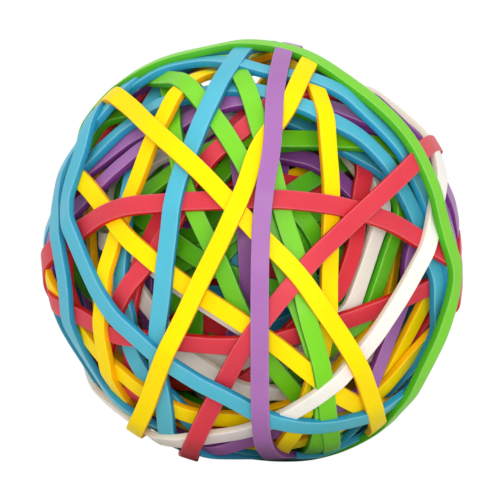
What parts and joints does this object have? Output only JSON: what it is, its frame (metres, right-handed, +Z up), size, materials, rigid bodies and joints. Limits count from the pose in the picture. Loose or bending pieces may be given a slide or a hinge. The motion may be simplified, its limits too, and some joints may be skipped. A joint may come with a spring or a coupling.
{
  "type": "rubber band ball",
  "caption": "Ball of flat coloured rubber bands stretched round one another, for holding and dispensing them.",
  "frame": {"origin": "under the middle of the ball, at the height of the surface that it stands on", "axes": "+Z up, +X to the right and -Y towards the viewer in the picture"},
  "size_m": [0.0708, 0.0674, 0.0712],
  "materials": {
    "blue_rubber": "satin cut rubber, a little shine along the cut edges",
    "yellow_rubber": "satin cut rubber, a little shine along the cut edges",
    "red_rubber": "satin cut rubber, a little shine along the cut edges",
    "green_rubber": "satin cut rubber, a little shine along the cut edges",
    "white_rubber": "satin cut rubber, a little shine along the cut edges",
    "purple_rubber": "satin cut rubber, a little shine along the cut edges",
    "packed_rubber": "dull rubber, hidden under the outer bands"
  },
  "bodies": {
    "root": {"inner_winding": "packed_rubber", "green_band_01": "green_rubber", "white_band_02": "white_rubber", "green_band_03": "green_rubber", "purple_band_04": "purple_rubber", "green_band_05": "green_rubber", "white_band_06": "white_rubber", "green_band_07": "green_rubber", "purple_band_08": "purple_rubber", "white_band_09": "white_rubber", "white_band_10": "white_rubber", "red_band_11": "red_rubber", "green_band_12": "green_rubber", "white_band_13": "white_rubber", "white_band_14": "white_rubber", "white_band_15": "white_rubber", "yellow_band_16": "yellow_rubber", "blue_band_17": "blue_rubber", "blue_band_18": "blue_rubber", "yellow_band_19": "yellow_rubber", "red_band_20": "red_rubber", "green_band_21": "green_rubber", "red_band_22": "red_rubber", "green_band_23": "green_rubber", "yellow_band_24": "yellow_rubber", "purple_band_25": "purple_rubber", "blue_band_26": "blue_rubber", "purple_band_27": "purple_rubber", "purple_band_28": "purple_rubber", "red_band_29": "red_rubber", "green_band_30": "green_rubber", "yellow_band_31": "yellow_rubber", "purple_band_32": "purple_rubber", "red_band_33": "red_rubber", "blue_band_34": "blue_rubber", "green_band_35": "green_rubber", "yellow_band_36": "yellow_rubber", "yellow_band_37": "yellow_rubber", "yellow_band_38": "yellow_rubber", "green_band_39": "green_rubber", "blue_band_40": "blue_rubber", "red_band_41": "red_rubber", "blue_band_42": "blue_rubber", "blue_band_43": "blue_rubber", "white_band_44": "white_rubber", "red_band_45": "red_rubber", "blue_band_46": "blue_rubber", "yellow_band_47": "yellow_rubber", "yellow_band_48": "yellow_rubber", "purple_band_49": "purple_rubber", "green_band_50": "green_rubber", "blue_band_51": "blue_rubber", "red_band_52": "red_rubber", "green_band_53": "green_rubber", "green_band_54": "green_rubber", "purple_band_55": "purple_rubber"}
  },
  "joints": []
}
